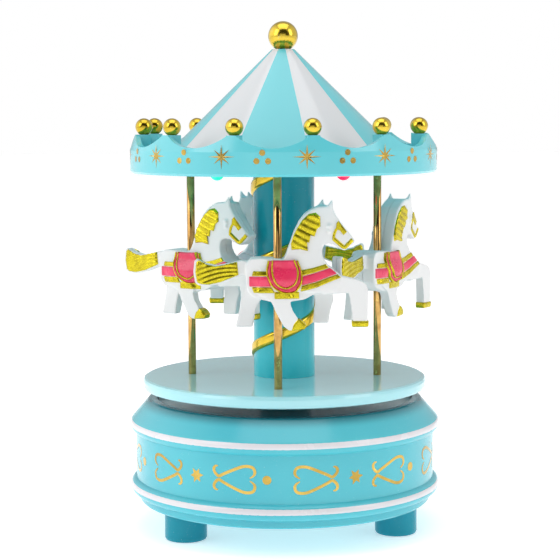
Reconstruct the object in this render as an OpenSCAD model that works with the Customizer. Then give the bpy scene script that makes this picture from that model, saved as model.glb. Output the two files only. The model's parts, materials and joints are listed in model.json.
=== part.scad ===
// Carousel music box: wind-up turntable under a striped canopy, four horses on poles.
// Millimetres, +Z up, origin on the turntable axis in the plane under the feet.

/* [Base] */
// diameter over the two round beads of the drum
base_d = 110; // [92:1:134]
// height of the drum from its lower edge to the top of the shoulder
base_h = 36.4; // [30:0.1:44]
// foot diameter
foot_d = 14.6; // [10:0.1:17]
// foot height below the drum
foot_h = 9.6; // [6:0.1:14]
// gap between the feet and the inner face of the drum wall
foot_inset = 0.5; // [0.4:0.1:4]
// radius of the round beads
bead_r = 3; // [2:0.1:3.5]
// wall thickness of the drum
base_wall = 2.8; // [2:0.1:3.5]

/* [Turntable] */
// diameter of the turning disc
platform_d = 100.6; // [96:0.1:110]
// thickness of the turning disc
platform_t = 4.2; // [3.6:0.1:6]
// air gap between the drum and the disc
platform_gap = 3.3; // [2.8:0.1:5]
// diameter of the centre column
column_d = 21.7; // [18:0.1:26.1]
// wall thickness of the column halves
column_wall = 1.8; // [1.2:0.1:2.5]
// rise of the gold spiral in one turn
ribbon_pitch = 28.6; // [22:0.2:40]
// pole diameter
pole_d = 2.8; // [2:0.1:3.4]
// distance of the poles from the axis
pole_ring_r = 33.1; // [32.5:0.1:36]
// free height between the disc and the lower edge of the canopy
gallery_h = 72.3; // [68:0.1:90]

/* [Canopy] */
// outer diameter of the canopy rim
canopy_d = 108; // [104:0.1:130]
// height of the rim at its crests
rim_h = 13.4; // [12:0.1:16]
// depth of the scallops between the crests
scallop_h = 4.2; // [2:0.1:5]
// height of the cone tip above the lower edge of the rim
cone_h = 46.8; // [44:0.1:52]
// diameter of the small balls on the crests
rim_ball_d = 6; // [4:0.1:7]
// diameter of the top ball
finial_d = 10.4; // [8:0.1:13]

/* [Horses] */
// height of the lowest hoof above the disc
horse_lift = 20.7; // [16:0.1:26]
// radius of the barrel of a horse
barrel_r = 6.5; // [5:0.1:6.8]

/* [Fits] */
// radial clearance of parts that turn or slide
run_fit = 0.05; // [0.02:0.01:0.1]
// radial clearance of parts that are pressed or glued in
push_fit = 0.02; // [0.01:0.01:0.05]
// air gap between bodies that pass each other
pass_gap = 0.3; // [0.2:0.05:0.5]

/* [Build] */
// sub-part to build
// number of segments on round parts
round_fn = 96; // [48:8:160]

/* [Hidden] */

eps = 0.01;
$fn = round_fn;

// heights
drum_z = foot_h;
deck_z = drum_z + base_h;
cover_t = 2.4;
cover_top = drum_z + cover_t;
platform_z = deck_z + platform_gap;
stage_z = platform_z + platform_t;
rim_z = stage_z + gallery_h;
crest_z = rim_z + rim_h;
cone_tip_z = rim_z + cone_h;

// drum radii
bead_ring_r = base_d / 2 - bead_r;
band_r = base_d / 2 - 2;
skirt_r = base_d / 2 - 3.3;
lower_bead_z = drum_z + 5.8;
upper_bead_z = deck_z - 8.8;
shoulder_r = base_d / 2 - 7;
cavity_r = band_r - base_wall;
foot_ring_r = cavity_r - foot_d / 2 - foot_inset;
deck_t = 2;
deck_recess = 1.8;
deck_under_z = deck_z - deck_recess - deck_t;

// screws
screw_r = 1.2;
head_r = 2.3;
head_t = 1.2;
boss_r = 3.2;
screw_ring_r = 45;
screw_angles = [36, 156, 276];
foot_angles = [-24, 96, 216];

// movement, hung under the deck with its arbor on the axis
arbor_r = 2;
bed_t = 2.5;
bed_top_z = deck_under_z - 0.2;
bed_z = bed_top_z - bed_t;
housing_r = 11.8;
housing_h = 12.4;
housing_wall = 0.9;
crown_teeth = 48;
crown_r = 15.25;
pinion_teeth = 16;
pinion_r = crown_r * pinion_teeth / crown_teeth;
drum_axis_z = bed_z - 9;
crown_pitch_z = drum_axis_z - pinion_r;
crown_tooth_w = 0.6;
drum_r = 6;
drum_x0 = 19;
drum_len = 13;
gear_module = 0.35;
gear_teeth = 40;
gear_r = gear_teeth * gear_module / 2;
idler_teeth = 10;
idler_r = idler_teeth * gear_module / 2;
idler_y = -(gear_r + idler_r);
worm_wheel_teeth = 24;
worm_wheel_r = 4.8;
worm_pitch = 2 * PI * worm_wheel_r / worm_wheel_teeth;
worm_core_r = 1.1;
worm_throw = 0.45;
worm_y = idler_y - worm_wheel_r - worm_core_r - 0.35;
gear_x = drum_x0 + drum_len + 0.6;
gear_w = 1.4;
worm_x = gear_x + gear_w + 2.75;
wheel_w = 1.6;
cheek_x = worm_x + 2.3;
cheek_t = 1.5;
inner_cheek_t = 1.2;
inner_cheek_x = gear_x - inner_cheek_t - 0.4;
shaft_r = 0.9;
idler_shaft_r = 0.7;
spindle_r = 0.6;
comb_y = drum_r + 1;
comb_t = 1.1;
comb_screw_r = 0.9;
comb_screw_x = [drum_x0 + 3, drum_x0 + drum_len - 3];
bed_y0 = worm_y - 6;
bed_screws = [[-12, -12], [-12, 9], [28, -12.5]];
fan_r = 4;
fan_z = drum_axis_z - 6.4;
fan_h = 2.6;
arm_t = 1.5;
arm_z = fan_z - fan_h / 2 - pass_gap - arm_t;
small_head_r = 1.2;

// platform and column
column_r = column_d / 2;
hub_r = 9;
washer_t = 0.6;
washer_z = deck_z - 0.1;
hub_z = washer_z + washer_t + run_fit;
insert_r = 3.5;
insert_z = hub_z + 0.4;
insert_top = stage_z - 0.6;
rod_r = 1.5;
seam_angle = -46;
pole_turn = -3.75;
pole_r = pole_d / 2;
pole_depth = 3;
pole_angles = [-90, 0, 90, 180];

// canopy
canopy_r = canopy_d / 2;
rim_wall = 2.4;
ceiling_z = rim_z + 1;
ceiling_t = 1.8;
ceiling_top = ceiling_z + ceiling_t;
gutter_z = ceiling_top + push_fit;
gutter_t = 1.6;
cone_slope = 1.021;
cone_wall = 1.8;
crest_count = 12;
crest_angle = 11;
ball_ring_r = canopy_r - 4.7;
ball_r = rim_ball_d / 2;
finial_r = finial_d / 2;
finial_z = cone_tip_z + 0.7;
finial_flat = finial_r * 0.88;
column_top = ceiling_z - push_fit;
pillar_r = 3;
ball_peg_r = 0.8;
ball_peg_l = 2;
ceiling_screw_r = 30;
ceiling_screw_angles = [60, 180, 300];

// lights, cells and switch on the ceiling
led_r = 2.5;
led_ring_r = 28;
led_drop = 3.5;
led_red_angle = -43;
led_green_angle = -145;
led_blue_angle = 90;
board_z = ceiling_top + 2.2;
board_t = 1.2;
cell_r = 5.8;
cell_t = 5.3;
cell_count = 3;
contact_t = 0.3;
cell_ring_r = 18.6;
cell_angle = 150;
door_r = 7.2;
door_t = 1;
cells_z = ceiling_z + door_t + contact_t + 0.1;
door_ear = 5;
ear_w = 6;
door_screw_r = 0.8;
switch_x = 17.5;
switch_y = 5;
switch_w = 8.6;
switch_d = 4;
switch_h = 3.6;
switch_travel = 2;
knob_w = 1.8;

module turned(z, h, r) {
    translate([0, 0, z]) cylinder(h = h, r = r);
}

// a rod along +X from x0
module along_x(x0, len, r, y, z) {
    translate([x0, y, z]) rotate([0, 90, 0]) cylinder(h = len, r = r);
}

// screw with its head down and the shank up
module screw_up(x, y, z, len) {
    translate([x, y, z]) {
        difference() {
            cylinder(h = head_t, r = head_r, $fn = 32);
            translate([-head_r, -0.25, -eps]) cube([2 * head_r, 0.5, 0.5]);
        }
        cylinder(h = len, r = screw_r, $fn = 24);
    }
}

module at_ring(r, angle) {
    translate([r * cos(angle), r * sin(angle), 0]) children();
}

// wheel outline with straight-sided teeth, one tooth pointing at +X
module wheel_outline(teeth, root, tip, root_w, tip_w) {
    step = 360 / teeth;
    corners = [[root, -root_w], [tip, -tip_w], [tip, tip_w], [root, root_w]];
    polygon([for (i = [0:teeth - 1]) for (p = corners)
        let (a = i * step)
        [p[0] * cos(a) - p[1] / 2 * sin(a), p[0] * sin(a) + p[1] / 2 * cos(a)]]);
}

// rounded limb between two points, its end balls a little fuller than the taper between them
module limb(a, b, ra, rb) {
    d = b - a;
    len = norm(d);
    translate(a) {
        sphere(r = ra, $fn = 32);
        rotate([0, acos(d[2] / len), atan2(d[1], d[0])])
            cylinder(h = len, r1 = 0.93 * ra, r2 = 0.93 * rb, $fn = 32);
    }
    translate(b) sphere(r = rb, $fn = 32);
}

/* ---- base ---- */
module base_shell() {
    color([0.46, 0.8, 0.85])
    difference() {
        union() {
            rotate_extrude() polygon([[0, drum_z], [skirt_r - 0.6, drum_z], [skirt_r, drum_z + 0.6],
                [skirt_r, lower_bead_z], [band_r, lower_bead_z], [band_r, upper_bead_z],
                [base_d / 2 - 0.9, upper_bead_z + 2.1], [shoulder_r + 0.6, deck_z - 0.4],
                [shoulder_r - 0.4, deck_z], [shoulder_r - 2.4, deck_z],
                [shoulder_r - 3, deck_z - deck_recess], [0, deck_z - deck_recess]]);
            rotate_extrude() translate([bead_ring_r, lower_bead_z]) circle(r = bead_r, $fn = 48);
            rotate_extrude() translate([bead_ring_r, upper_bead_z]) circle(r = bead_r, $fn = 48);
            turned(deck_under_z, washer_z - deck_under_z, hub_r + 1);
        }
        difference() {
            rotate_extrude() polygon([[0, drum_z - 1], [cavity_r, drum_z - 1], [cavity_r, upper_bead_z - 1],
                [shoulder_r - 3, deck_under_z], [0, deck_under_z]]);
            for (a = screw_angles) at_ring(screw_ring_r, a)
                turned(cover_top + push_fit, deck_z - cover_top - 1, boss_r);
            for (p = bed_screws) translate([p[0], p[1], 0]) turned(bed_top_z + eps, 3, boss_r);
        }
        turned(0, deck_z + 5, arbor_r + run_fit);
        for (a = screw_angles) at_ring(screw_ring_r, a) turned(drum_z, 12, screw_r + push_fit);
        for (p = bed_screws) translate([p[0], p[1], 0])
            turned(bed_top_z - 1, 2.5, screw_r + push_fit, $fn = 24);
    }
}

module base_cover() {
    color([0.42, 0.76, 0.82])
    difference() {
        turned(drum_z + 0.2, cover_t - 0.2, cavity_r - pass_gap);
        for (a = foot_angles) at_ring(foot_ring_r, a) turned(drum_z - 1, 10, 3 + push_fit);
        for (a = screw_angles) at_ring(screw_ring_r, a) {
            turned(drum_z - 1, 10, screw_r + push_fit);
            turned(drum_z - 1, 1 + head_t + 0.2, head_r + push_fit);
        }
    }
}

module foot(angle) {
    color([0.44, 0.78, 0.83])
    at_ring(foot_ring_r, angle) {
        rotate_extrude() polygon([[0, 0], [foot_d / 2 - 1, 0], [foot_d / 2 - 0.3, 0.3], [foot_d / 2, 1],
            [foot_d / 2, foot_h + 0.2 - push_fit], [0, foot_h + 0.2 - push_fit]]);
        turned(foot_h - 0.1, cover_t, 3);
    }
}

module cover_screws() {
    color([0.75, 0.75, 0.77])
    for (a = screw_angles) at_ring(screw_ring_r, a) screw_up(0, 0, drum_z + 0.2, 9);
}

/* ---- movement ---- */
module movement_frame() {
    color([0.72, 0.7, 0.62])
    difference() {
        union() {
            translate([-16, -16, bed_z]) cube([cheek_x + cheek_t + 16, 30, bed_t]);
            translate([drum_x0 - 2, 0, bed_z]) cube([drum_len + 4, 21, bed_t]);
            translate([worm_x - 2.4, bed_y0, bed_z]) cube([4.8, 12, bed_t]);
            translate([drum_x0 - 2.2, -3.5, drum_axis_z - 3.5]) cube([1.4, 7, bed_z - drum_axis_z + 4]);
            translate([cheek_x, idler_y - 2.6, drum_axis_z - 3.5])
                cube([cheek_t, 5.6 - idler_y, bed_z - drum_axis_z + 4]);
            translate([inner_cheek_x, idler_y - 2, drum_axis_z - 3])
                cube([inner_cheek_t, 3.7, bed_z - drum_axis_z + 4]);
            translate([drum_x0 - 0.5, comb_y + 6, drum_axis_z + comb_t / 2 + push_fit])
                cube([drum_len + 1, 7, bed_z - drum_axis_z]);
        }
        turned(0, deck_z, arbor_r + run_fit);
        along_x(0, 60, shaft_r + run_fit, 0, drum_axis_z);
        along_x(30, 30, idler_shaft_r + run_fit, idler_y, drum_axis_z);
        translate([worm_x, worm_y, 0]) turned(bed_z - 1, 2.2, spindle_r + run_fit);
        for (x = comb_screw_x) translate([x, comb_y + 9.5, 0])
            turned(drum_axis_z, 6, comb_screw_r + push_fit, $fn = 24);
        for (p = bed_screws) translate([p[0], p[1], 0])
            turned(bed_z - 1, 10, screw_r + push_fit, $fn = 24);
        translate([worm_x, bed_y0 + 2.2, 0]) turned(bed_z - 1, 3, 0.6 + push_fit, $fn = 24);
    }
}

module movement_screws() {
    color([0.75, 0.75, 0.77])
    for (p = bed_screws) screw_up(p[0], p[1], bed_z - head_t, 5);
}

module spring_housing() {
    color([0.83, 0.76, 0.5])
    difference() {
        turned(bed_z - housing_h, housing_h - push_fit, housing_r);
        turned(bed_z - housing_h + 1, housing_h, housing_r - housing_wall);
        turned(0, deck_z, arbor_r + run_fit);
    }
}

// coiled steel strip, hooked to the housing wall at its outer end
module mainspring() {
    turns = 7;
    strip = 0.3;
    inner = arbor_r + 0.4;
    outer = housing_r - housing_wall - strip - push_fit;
    steps = turns * 24;
    r_at = function (i) inner + (outer - inner) * i / steps;
    color([0.35, 0.37, 0.42])
    translate([0, 0, bed_z - housing_h + 2]) linear_extrude(height = housing_h - 3.5)
        polygon(concat(
            [for (i = [0:steps]) [r_at(i) * cos(i * 15), r_at(i) * sin(i * 15)]],
            [for (i = [steps:-1:0]) [(r_at(i) + strip) * cos(i * 15), (r_at(i) + strip) * sin(i * 15)]]));
}

module governor_bracket() {
    color([0.72, 0.7, 0.62])
    difference() {
        union() {
            translate([worm_x - 2.2, bed_y0, arm_z]) cube([4.4, 1, bed_z - arm_z - push_fit]);
            translate([worm_x - 2.2, bed_y0, bed_z - 1.2]) cube([4.4, 3.6, 1.2 - push_fit]);
            translate([worm_x - 1.8, bed_y0, arm_z]) cube([3.6, worm_y - bed_y0 + 1.8, arm_t]);
        }
        translate([worm_x, bed_y0 + 2.2, 0]) turned(bed_z - 2, 3, 0.6 + push_fit, $fn = 24);
        translate([worm_x, worm_y, 0]) turned(arm_z + 0.5, 3, spindle_r + run_fit, $fn = 24);
    }
}

module bracket_screw() {
    color([0.75, 0.75, 0.77])
    translate([worm_x, bed_y0 + 2.2, bed_z - 2]) {
        cylinder(h = 0.8 - push_fit, r = small_head_r, $fn = 24);
        cylinder(h = 3.4, r = 0.6, $fn = 24);
    }
}

// steel comb with one tone to each tooth
module note_comb() {
    tones = 18;
    tone_step = drum_len / tones;
    color([0.62, 0.64, 0.68])
    difference() {
        translate([drum_x0 - 0.5, comb_y, drum_axis_z - comb_t / 2]) cube([drum_len + 1, 13, comb_t]);
        for (i = [0:tones]) translate([drum_x0 + i * tone_step - 0.12, comb_y - 1, drum_axis_z - 1])
            cube([0.24, 6.2 - 0.1 * i, 2]);
        for (x = comb_screw_x) translate([x, comb_y + 9.5, 0])
            turned(drum_axis_z - 1, 3, comb_screw_r + push_fit, $fn = 24);
    }
}

module comb_screws() {
    color([0.75, 0.75, 0.77])
    for (x = comb_screw_x)
        translate([x, comb_y + 9.5, drum_axis_z - comb_t / 2 - 1]) {
            cylinder(h = 1 - push_fit, r = 1.7, $fn = 32);
            cylinder(h = 4.5, r = comb_screw_r, $fn = 24);
        }
}

module thrust_washer() {
    color([0.9, 0.88, 0.8])
    difference() {
        turned(washer_z + push_fit, washer_t - push_fit, hub_r - 0.5);
        turned(0, deck_z + 5, arbor_r + 0.1);
    }
}

/* ---- gear train ---- */
module main_wheel() {
    color([0.83, 0.74, 0.42])
    difference() {
        union() {
            turned(crown_pitch_z - 4.4, 3.2, crown_r + 1.4);
            translate([0, 0, crown_pitch_z - 1.4]) linear_extrude(height = 2)
                for (i = [0:crown_teeth - 1]) rotate(i * 360 / crown_teeth)
                    translate([crown_r - 1.4, -crown_tooth_w / 2]) square([2.7, crown_tooth_w]);
        }
        turned(0, deck_z, arbor_r + push_fit);
        for (a = [0:60:300]) at_ring(8.5, a) turned(0, deck_z, 2.6, $fn = 32);
    }
}

module pin_cylinder() {
    rows = 18;
    color([0.86, 0.76, 0.42])
    difference() {
        union() {
            along_x(drum_x0, drum_len, drum_r, 0, drum_axis_z);
            for (i = [0:rows - 1]) for (k = [0:1])
                translate([drum_x0 + (i + 0.5) * drum_len / rows, 0, drum_axis_z])
                    rotate([(i * 79 + k * 151) % 300 + 150, 0, 0])
                        cylinder(h = drum_r + 0.6, r = 0.22, $fn = 16);
        }
        along_x(drum_x0 - 1, drum_len + 2, shaft_r + push_fit, 0, drum_axis_z);
    }
}

module cylinder_shaft() {
    color([0.75, 0.76, 0.78])
    along_x(crown_r - 1.4, cheek_x + cheek_t - crown_r + 1.4, shaft_r, 0, drum_axis_z);
}

module cylinder_pinion() {
    root = pinion_r - 0.7;
    color([0.83, 0.74, 0.42])
    difference() {
        translate([crown_r - 0.85, 0, drum_axis_z]) rotate([0, 90, 0]) rotate(360 / pinion_teeth / 2)
            linear_extrude(height = 1.7) wheel_outline(pinion_teeth, root, pinion_r + 0.45, 0.8, 0.5);
        along_x(0, 60, shaft_r + push_fit, 0, drum_axis_z);
    }
}

module cylinder_gear() {
    color([0.83, 0.74, 0.42])
    difference() {
        translate([gear_x, 0, drum_axis_z]) rotate([0, 90, 0]) rotate(-90 + 180 / gear_teeth)
            linear_extrude(height = gear_w)
                wheel_outline(gear_teeth, gear_r - 0.4, gear_r + 0.28, 0.5, 0.26);
        along_x(0, 60, shaft_r + push_fit, 0, drum_axis_z);
    }
}

module idler_arbor() {
    color([0.75, 0.76, 0.78])
    union() {
        along_x(inner_cheek_x, cheek_x + cheek_t - inner_cheek_x, idler_shaft_r, idler_y, drum_axis_z);
        translate([gear_x - 0.1, idler_y, drum_axis_z]) rotate([0, 90, 0]) rotate(90)
            linear_extrude(height = gear_w + 0.2)
                wheel_outline(idler_teeth, idler_r - 0.4, idler_r + 0.28, 0.42, 0.24);
    }
}

module worm_wheel() {
    color([0.83, 0.74, 0.42])
    difference() {
        translate([worm_x - wheel_w / 2, idler_y, drum_axis_z]) rotate([0, 90, 0]) rotate(-90)
            linear_extrude(height = wheel_w)
                wheel_outline(worm_wheel_teeth, worm_wheel_r - 0.4, worm_wheel_r + 0.35, 0.62, 0.3);
        along_x(0, 60, idler_shaft_r + push_fit, idler_y, drum_axis_z);
    }
}

module governor_shaft() {
    color([0.75, 0.76, 0.78])
    translate([worm_x, worm_y, 0]) turned(arm_z + 0.55, bed_z + 1 - arm_z - 0.55, spindle_r, $fn = 24);
}

module governor_worm() {
    half = 2.4;
    color([0.75, 0.76, 0.78])
    translate([worm_x, worm_y, drum_axis_z - half]) difference() {
        rotate(-90 - 360 * half / worm_pitch)
            linear_extrude(height = 2 * half, twist = -360 * 2 * half / worm_pitch, slices = 40, $fn = 12)
                translate([worm_throw, 0]) circle(r = worm_core_r, $fn = 12);
        translate([0, 0, -1]) cylinder(h = 2 * half + 2, r = spindle_r + push_fit, $fn = 16);
    }
}

module governor_fan() {
    color([0.85, 0.85, 0.87])
    translate([worm_x, worm_y, fan_z - fan_h / 2]) difference() {
        union() {
            cylinder(h = fan_h, r = 1.2, $fn = 24);
            translate([-fan_r, -0.2, 0]) cube([2 * fan_r, 0.4, fan_h]);
        }
        translate([0, 0, -1]) cylinder(h = fan_h + 2, r = spindle_r + push_fit, $fn = 24);
    }
}

/* ---- turntable ---- */
module winding_arbor() {
    color([0.75, 0.76, 0.78])
    turned(crown_pitch_z - 5.4, insert_z + 3.4 - crown_pitch_z + 5.4, arbor_r);
}

module hub_insert() {
    color([0.82, 0.7, 0.38])
    difference() {
        turned(insert_z, insert_top - insert_z, insert_r);
        turned(0, insert_z + 3.4 + push_fit, arbor_r + push_fit);
        turned(insert_z + 3.4, 10, rod_r + push_fit);
    }
}

module pole_spots() {
    for (a = pole_angles) rotate(a + pole_turn) translate([pole_ring_r, 0, 0]) children();
}

module platform() {
    edge = platform_d / 2;
    color([0.74, 0.88, 0.9])
    difference() {
        union() {
            rotate_extrude() polygon([[0, hub_z], [hub_r, hub_z], [hub_r, platform_z],
                [edge - 1.2, platform_z], [edge - 0.35, platform_z + 0.35], [edge, platform_z + 1.2],
                [edge, stage_z - 1.2], [edge - 0.35, stage_z - 0.35], [edge - 1.2, stage_z], [0, stage_z]]);
            turned(stage_z - 1, 4, column_r - column_wall - push_fit);
        }
        turned(0, insert_top + push_fit, insert_r + push_fit);
        turned(insert_top, 10, rod_r + push_fit);
        pole_spots() turned(stage_z - pole_depth, 10, pole_r + push_fit, $fn = 48);
    }
}

module column_half(side) {
    web_t = 2;
    color([0.42, 0.78, 0.82])
    intersection() {
        difference() {
            turned(stage_z + push_fit, column_top - stage_z - push_fit, column_r);
            turned(stage_z, 30, column_r - column_wall);
            turned(stage_z + 30 + web_t, column_top, column_r - column_wall);
            turned(stage_z, column_top, rod_r + 0.1);
        }
        rotate(seam_angle)
            translate([-column_r - 1, side > 0 ? push_fit / 2 : -column_r - 1, stage_z])
                cube([column_d + 2, column_r + 1 - push_fit / 2, column_top]);
    }
}

// gold spiral strip around the column, rising to the right
module column_ribbon() {
    span = 55;
    relief = 0.8;
    // the strip is flat between its edges, so its inner side stands off the round column
    stand_off = 0.09;
    height = column_top - stage_z - 2 * pass_gap;
    first_front_pass = 15.9;
    color([0.85, 0.72, 0.2])
    translate([0, 0, stage_z + pass_gap]) rotate(-90 - 360 * first_front_pass / ribbon_pitch)
        linear_extrude(height = height, twist = -360 * height / ribbon_pitch, slices = 120, $fn = 14)
            polygon(concat(
                [for (i = [0:6]) let (a = span * (i / 6 - 0.5), edge = i == 0 || i == 6)
                    (column_r + (edge ? 0.4 * relief : relief)) * [cos(a), sin(a)]],
                [for (i = [6:-1:0]) let (a = span * (i / 6 - 0.5))
                    (column_r + stand_off) * [cos(a), sin(a)]]));
}

module tie_rod() {
    color([0.75, 0.76, 0.78])
    turned(insert_z + 3.4 + push_fit, finial_z - 0.8 - insert_z - 3.4, rod_r);
}

module pole(angle) {
    color([0.8, 0.66, 0.25])
    rotate(angle + pole_turn) translate([pole_ring_r, 0, 0])
        turned(stage_z - pole_depth + push_fit, ceiling_z + 1 - stage_z + pole_depth - push_fit, pole_r,
            $fn = 48);
}

/* ---- canopy ---- */
module crests() {
    for (i = [0:crest_count - 1]) rotate(crest_angle + i * 360 / crest_count) children();
}

module ceiling_screw_spots() {
    for (a = ceiling_screw_angles) at_ring(ceiling_screw_r, a) children();
}

module canopy() {
    tip_cut = finial_z - finial_flat - push_fit;
    cone_foot_r = (cone_tip_z - gutter_z) * cone_slope;
    scallop_r = 20;
    drop = cone_wall * 1.43;
    color([0.6, 0.86, 0.88])
    difference() {
        union() {
            rotate_extrude() polygon([[cone_foot_r - 0.5, gutter_z], [canopy_r - 1, gutter_z],
                [canopy_r - 1, gutter_z + gutter_t],
                [cone_foot_r - gutter_t * cone_slope, gutter_z + gutter_t],
                [(cone_tip_z - tip_cut) * cone_slope, tip_cut], [rod_r, tip_cut], [rod_r, tip_cut - 4],
                [(drop + 2) * cone_slope, cone_tip_z - 2 * drop - 2 + 0.4],
                [cone_foot_r - drop * cone_slope, gutter_z]]);
            difference() {
                rotate_extrude() polygon([[canopy_r - 0.8, rim_z], [canopy_r, rim_z + 0.8],
                    [canopy_r, rim_z + 8], [canopy_r - 1.7, crest_z], [canopy_r - 3.3, crest_z],
                    [canopy_r - rim_wall, rim_z + 8], [canopy_r - rim_wall, rim_z]]);
                for (i = [0:crest_count - 1]) rotate(crest_angle + (i + 0.5) * 360 / crest_count)
                    translate([canopy_r - 6, 0, crest_z - scallop_h + scallop_r]) rotate([0, 90, 0])
                        cylinder(h = 8, r = scallop_r);
            }
            crests() translate([ball_ring_r - 2.2, -2, gutter_z])
                cube([canopy_r - ball_ring_r, 4, crest_z - gutter_z]);
            turned(ceiling_top + push_fit, tip_cut - 2 - ceiling_top, 5);
            intersection() {
                ceiling_screw_spots() turned(ceiling_top + push_fit, 20, pillar_r, $fn = 48);
                rotate_extrude() polygon([[0, rim_z], [cone_foot_r, gutter_z], [0.5, cone_tip_z - 0.5]]);
            }
        }
        turned(0, cone_tip_z + 5, rod_r + push_fit);
        ceiling_screw_spots() turned(ceiling_z, 9, screw_r + push_fit, $fn = 32);
        crests() translate([ball_ring_r, 0, 0])
            turned(crest_z - ball_peg_l - 0.2, 5, ball_peg_r + push_fit, $fn = 24);
    }
}

module led_spot(angle) {
    at_ring(led_ring_r, angle) children();
}

module cell_spot() {
    rotate(cell_angle) translate([cell_ring_r, 0, 0]) children();
}

module canopy_ceiling() {
    color([0.7, 0.88, 0.9])
    difference() {
        union() {
            turned(ceiling_z, ceiling_t, canopy_r - rim_wall - pass_gap);
            turned(ceiling_z - 2, 3, column_r - column_wall - push_fit);
        }
        turned(0, cone_tip_z, rod_r + push_fit);
        pole_spots() turned(ceiling_z - 1, 2 + push_fit, pole_r + push_fit, $fn = 48);
        for (a = [led_red_angle, led_green_angle, led_blue_angle])
            led_spot(a) turned(ceiling_z - 1, 5, led_r + push_fit, $fn = 48);
        ceiling_screw_spots() {
            turned(ceiling_z - 1, 5, screw_r + push_fit, $fn = 32);
            turned(ceiling_z - 1, 1.8, head_r + push_fit, $fn = 32);
        }
        cell_spot() {
            turned(ceiling_z - 1, 5, cell_r + 0.2);
            turned(ceiling_z - 1, 1 + door_t + push_fit, door_r + 0.1);
            translate([0, -ear_w / 2 - 0.1, ceiling_z - 1])
                cube([door_r + door_ear + 0.1, ear_w + 0.2, 1 + door_t + push_fit]);
            translate([door_r + door_ear / 2, 0, 0])
                turned(ceiling_z, 5, door_screw_r + push_fit, $fn = 24);
        }
        translate([switch_x - (knob_w + switch_travel) / 2 - 0.2, switch_y - 1, ceiling_z - 1])
            cube([knob_w + switch_travel + 0.4, 2, 5]);
    }
}

module ceiling_screws() {
    color([0.75, 0.75, 0.77])
    ceiling_screw_spots() screw_up(0, 0, ceiling_z - 0.4, 7);
}

module rim_balls() {
    flat = 2.6;
    color([0.86, 0.72, 0.2])
    crests() translate([ball_ring_r, 0, crest_z + push_fit]) {
        intersection() {
            translate([0, 0, ball_r * flat / 3]) sphere(r = ball_r, $fn = 48);
            translate([-ball_r, -ball_r, 0]) cube(2 * ball_r);
        }
        translate([0, 0, -ball_peg_l]) cylinder(h = 3, r = ball_peg_r, $fn = 24);
    }
}

module finial_half(z, h) {
    color([0.88, 0.74, 0.22])
    difference() {
        intersection() {
            translate([0, 0, finial_z]) sphere(r = finial_r);
            turned(z, h, finial_r + 1);
        }
        turned(0, finial_z - 0.8 + push_fit, rod_r + push_fit);
    }
}

module light_board() {
    color([0.2, 0.45, 0.28])
    difference() {
        turned(board_z, board_t, led_ring_r + 3);
        turned(board_z - 1, board_t + 2, led_ring_r - 3);
        ceiling_screw_spots() turned(board_z - 1, board_t + 2, pillar_r + pass_gap, $fn = 48);
    }
}

module light(angle, tint) {
    dome_z = ceiling_z - led_drop + led_r;
    color(tint)
    led_spot(angle) {
        turned(dome_z, ceiling_top - dome_z + 0.5, led_r, $fn = 48);
        translate([0, 0, dome_z]) sphere(r = led_r, $fn = 48);
        turned(ceiling_top + push_fit, 1, led_r + 0.4, $fn = 48);
        for (y = [-1.27, 1.27]) translate([0, y, 0])
            turned(ceiling_top + 0.5, board_z - ceiling_top - 0.5 - push_fit, 0.3, $fn = 16);
    }
}

module battery_cells() {
    color([0.78, 0.79, 0.8])
    cell_spot() for (i = [0:cell_count - 1]) translate([0, 0, cells_z + i * cell_t])
        difference() {
            cylinder(h = cell_t - push_fit, r = cell_r);
            translate([0, 0, cell_t - 0.3]) difference() {
                cylinder(h = 1, r = cell_r + 1);
                translate([0, 0, -1]) cylinder(h = 3, r = cell_r - 1.2);
            }
        }
}

module battery_contacts() {
    top_z = cells_z + cell_count * cell_t;
    color([0.8, 0.8, 0.74])
    cell_spot() {
        turned(ceiling_z + door_t + 0.05, contact_t, 3.5, $fn = 32);
        translate([-1.5, -1.5, top_z]) cube([3, cell_r + 2.2, contact_t]);
        translate([-1.5, cell_r + 0.4, ceiling_top + push_fit]) cube([3, contact_t, top_z - ceiling_top]);
    }
}

module battery_door() {
    color([0.68, 0.86, 0.89])
    cell_spot() difference() {
        union() {
            turned(ceiling_z + 0.05, door_t - 0.05, door_r);
            translate([0, -ear_w / 2, ceiling_z + 0.05]) cube([door_r + door_ear, ear_w, door_t - 0.05]);
        }
        translate([door_r + door_ear / 2, 0, 0])
            turned(ceiling_z - 1, 5, door_screw_r + push_fit, $fn = 24);
    }
}

module battery_door_screw() {
    color([0.75, 0.75, 0.77])
    cell_spot() translate([door_r + door_ear / 2, 0, ceiling_z - 0.8 + 0.05 - push_fit]) {
        cylinder(h = 0.8, r = 1.6, $fn = 32);
        cylinder(h = 2.8, r = door_screw_r, $fn = 24);
    }
}

module switch_housing() {
    color([0.15, 0.15, 0.17])
    translate([switch_x, switch_y, ceiling_top + push_fit]) difference() {
        translate([-switch_w / 2, -switch_d / 2, 0]) cube([switch_w, switch_d, switch_h]);
        translate([-(knob_w + switch_travel) / 2 - 0.3, -1.2, -1])
            cube([knob_w + switch_travel + 0.6, 2.4, 3]);
    }
}

module switch_slider() {
    color([0.93, 0.93, 0.9])
    translate([switch_x - (knob_w + switch_travel) / 2, switch_y - 0.7, ceiling_z - 1.4])
        cube([knob_w, 1.4, ceiling_t + 1.4 + 1.6]);
}

/* ---- horses, nose to +X, pole on the Z axis, lowest hoof at height 0 ---- */
module hoof(x, y, z) {
    translate([x, y, z]) cylinder(h = 3.4, r1 = 2.4, r2 = 1.6, $fn = 32);
}

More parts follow.
